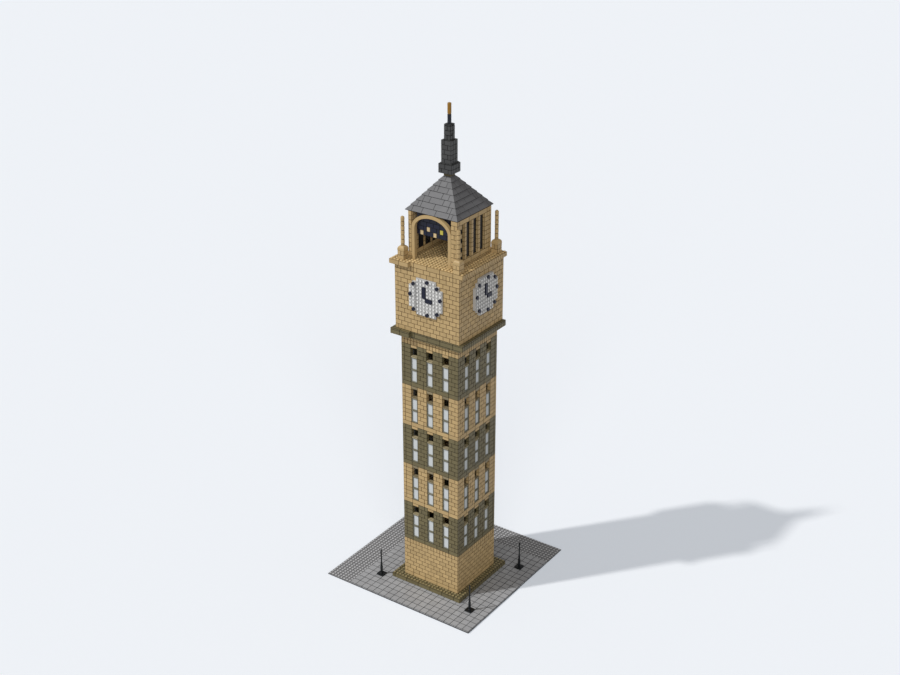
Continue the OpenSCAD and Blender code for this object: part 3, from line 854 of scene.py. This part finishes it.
def lathe(shape, feet, turning):  # closed rounds, one on each foot
    sides = turning.get("sides", 24)
    for foot in feet:
        rings = []
        for rise, radius in turning["profile"]:
            rings.append([shape.verts.new(foot + Vector((radius / 1000 * math.cos(2 * math.pi * k / sides),
                                                         radius / 1000 * math.sin(2 * math.pi * k / sides),
                                                         rise / 1000)))
                          for k in range(sides)])
        closeRings(shape, rings)


# profiles are heights and radii in millimetres
rod = {"profile": [(0, 3.7), (0.3, 4), (9.0, 4), (9.3, 3.7), (9.9, 3.7), (10.2, 4), (18.9, 4), (19.2, 3.7)]}
finial = {"profile": [(0, 3.2), (1.6, 3.2), (1.8, 4), (10.9, 4), (11.2, 3.6), (11.7, 3.6), (12.0, 4), (21.6, 4),
                      (22.4, 3.2)]}
lamp = {"profile": [(0, 3.6), (1.0, 3.6), (1.6, 2.8), (15.0, 2.8), (16.0, 3.1), (17.2, 3.1), (17.8, 2.4),
                    (29.0, 1.9), (30.0, 1.6), (60.2, 1.6), (61.0, 2.1), (61.8, 1.2)],
        "sides": 16, "spots": [(-15, -12), (15, -12), (15, 13), (-15, 13)]}
makeMesh("spireRodRound", lambda shape: lathe(shape, [spot(0, 0, footOf("spire_rod"))], rod),
         "rodDark", ("spire_rod",))
makeMesh("finialRound", lambda shape: lathe(shape, [spot(0, 0, footOf("finial"))], finial),
         "pearlGold", ("finial",))
lampFeet = [spot(x, y, footOf("lamp_poles")) for x, y in lamp["spots"]]
makeMesh("lampPosts", lambda shape: lathe(shape, lampFeet, lamp), "lampBlack", ("lamp_poles",))
print("roof, spire and lamps laid")


stage = {"floorReach": 40.0, "floorLevel": -0.0002, "floorTint": (0.85, 0.85, 0.85), "floorRoughness": 0.9,
         "floorGlow": (0.534, 0.565, 0.604), "glow": 1.0, "sky": (1.0, 0.99, 0.985), "skyPower": 0.27,
         "keyFrom": (-76.5, -94.7, 137.0), "keyPower": 1.95, "keyAngle": 2.0,
         "fillFrom": (193.3, -276.0, 160.0), "fillPower": 1.1, "fillAngle": 40.0}
camera = {"spot": (193.27, -276.05, 233.75), "azimuth": 34.967, "elevation": 25.454, "roll": 0.017,
          "lens": 57.14, "sensor": 36.0, "far": 200.0}

floorMesh = bpy.data.meshes.new("floor")
reach = stage["floorReach"]
corners = [(-reach, -reach), (reach, -reach), (reach, reach), (-reach, reach)]
floorMesh.from_pydata([(x, y, stage["floorLevel"]) for x, y in corners], [], [(0, 1, 2, 3)])
floor = bpy.data.objects.new("floor", floorMesh)
bpy.context.scene.collection.objects.link(floor)
floorFinish = bpy.data.materials.new("paleFloor")
floorFinish.use_nodes = True
principled = floorFinish.node_tree.nodes["Principled BSDF"]
principled.inputs["Base Color"].default_value = linear(stage["floorTint"])
principled.inputs["Roughness"].default_value = stage["floorRoughness"]
principled.inputs["Specular IOR Level"].default_value = 0.0
principled.inputs["Emission Color"].default_value = linear(stage["floorGlow"])
principled.inputs["Emission Strength"].default_value = stage["glow"]
floorMesh.materials.append(floorFinish)
floor.visible_diffuse = False  # the light that bounces on to the walls comes from the sky alone

world = bpy.data.worlds.new("studio")
bpy.context.scene.world = world
world.use_nodes = True
background = world.node_tree.nodes["Background"]
background.inputs["Color"].default_value = linear(stage["sky"])
background.inputs["Strength"].default_value = stage["skyPower"]

for label in ("key", "fill"):
    light = bpy.data.objects.new(label + "Light", bpy.data.lights.new(label + "Light", "SUN"))
    light.data.energy = stage[label + "Power"]
    light.data.angle = math.radians(stage[label + "Angle"])
    light.rotation_euler = (-Vector(stage[label + "From"])).to_track_quat("-Z", "Y").to_euler()
    bpy.context.scene.collection.objects.link(light)
bpy.context.scene.view_settings.view_transform = "Standard"

view = bpy.data.objects.new("view", bpy.data.cameras.new("view"))
view.data.sensor_width = camera["sensor"]
view.data.lens = camera["lens"]
view.data.clip_end = camera["far"]
view.location = spot(*camera["spot"])
view.rotation_euler = [math.radians(a) for a in (90 - camera["elevation"], camera["roll"], camera["azimuth"])]
bpy.context.scene.collection.objects.link(view)
bpy.context.scene.camera = view
print("stage set")
